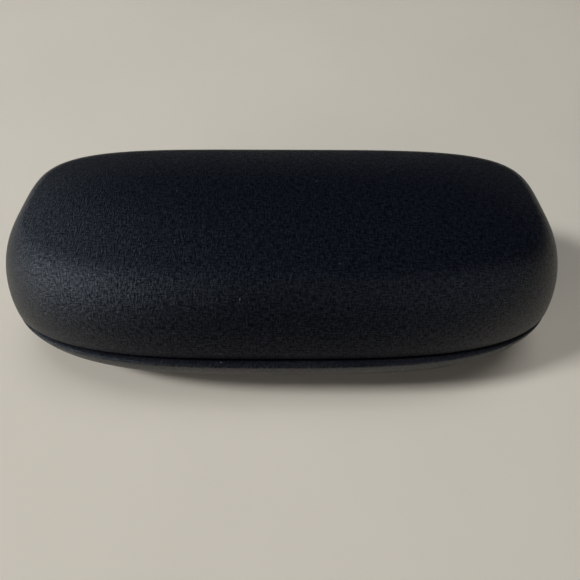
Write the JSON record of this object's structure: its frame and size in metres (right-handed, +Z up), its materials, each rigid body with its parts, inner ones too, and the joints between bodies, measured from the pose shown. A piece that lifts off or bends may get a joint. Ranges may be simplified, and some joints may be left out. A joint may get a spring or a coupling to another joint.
{
  "type": "eyeglasses case",
  "caption": "Hard clamshell eyeglasses case wrapped in dark leatherette, with a velour-lined base and lid joined by a sprung hinge at the back.",
  "frame": {"origin": "under the middle of the closed case, on the surface that it stands on", "axes": "+X along the length of the case, to the right seen from the front; -Y to the front where it opens, so the hinge is at +Y; +Z up"},
  "size_m": [0.164, 0.0738, 0.0477],
  "materials": {
    "leatherette": "matte, fine linen grain, near-black navy",
    "shell_steel": "pressed cold-rolled sheet, dull",
    "foam": "thin closed-cell foam sheet",
    "liner_board": "pressed grey fibre board",
    "velour": "short-pile velour, black",
    "hinge_steel": "nickel-plated steel, satin",
    "rivet_steel": "nickel-plated steel, satin",
    "spring_wire": "drawn spring wire, satin"
  },
  "bodies": {
    "base": {"base_cover": "leatherette", "base_shell": "shell_steel", "base_foam": "foam", "base_liner_board": "liner_board", "base_velour": "velour", "base_hinge_leaf": "hinge_steel", "base_rivet_1": "rivet_steel", "base_rivet_2": "rivet_steel", "base_rivet_3": "rivet_steel", "base_rivet_4": "rivet_steel", "hinge_pin": "hinge_steel", "left_spring": "spring_wire", "right_spring": "spring_wire"},
    "lid": {"lid_cover": "leatherette", "lid_shell": "shell_steel", "lid_foam": "foam", "lid_liner_board": "liner_board", "lid_velour": "velour", "lid_hinge_leaf": "hinge_steel", "lid_rivet_1": "rivet_steel", "lid_rivet_2": "rivet_steel", "lid_rivet_3": "rivet_steel", "lid_rivet_4": "rivet_steel"}
  },
  "joints": [
    {"name": "lid_hinge", "type": "hinge", "parent": "base", "child": "lid", "pos_m": [0, 0.035, 0.019], "axis": [-1, 0, 0], "range_deg": [0, 105], "stiffness_Nm_per_rad": 0.012, "springref_deg": -22.92, "deforming": ["left_spring", "right_spring"]}
  ]
}
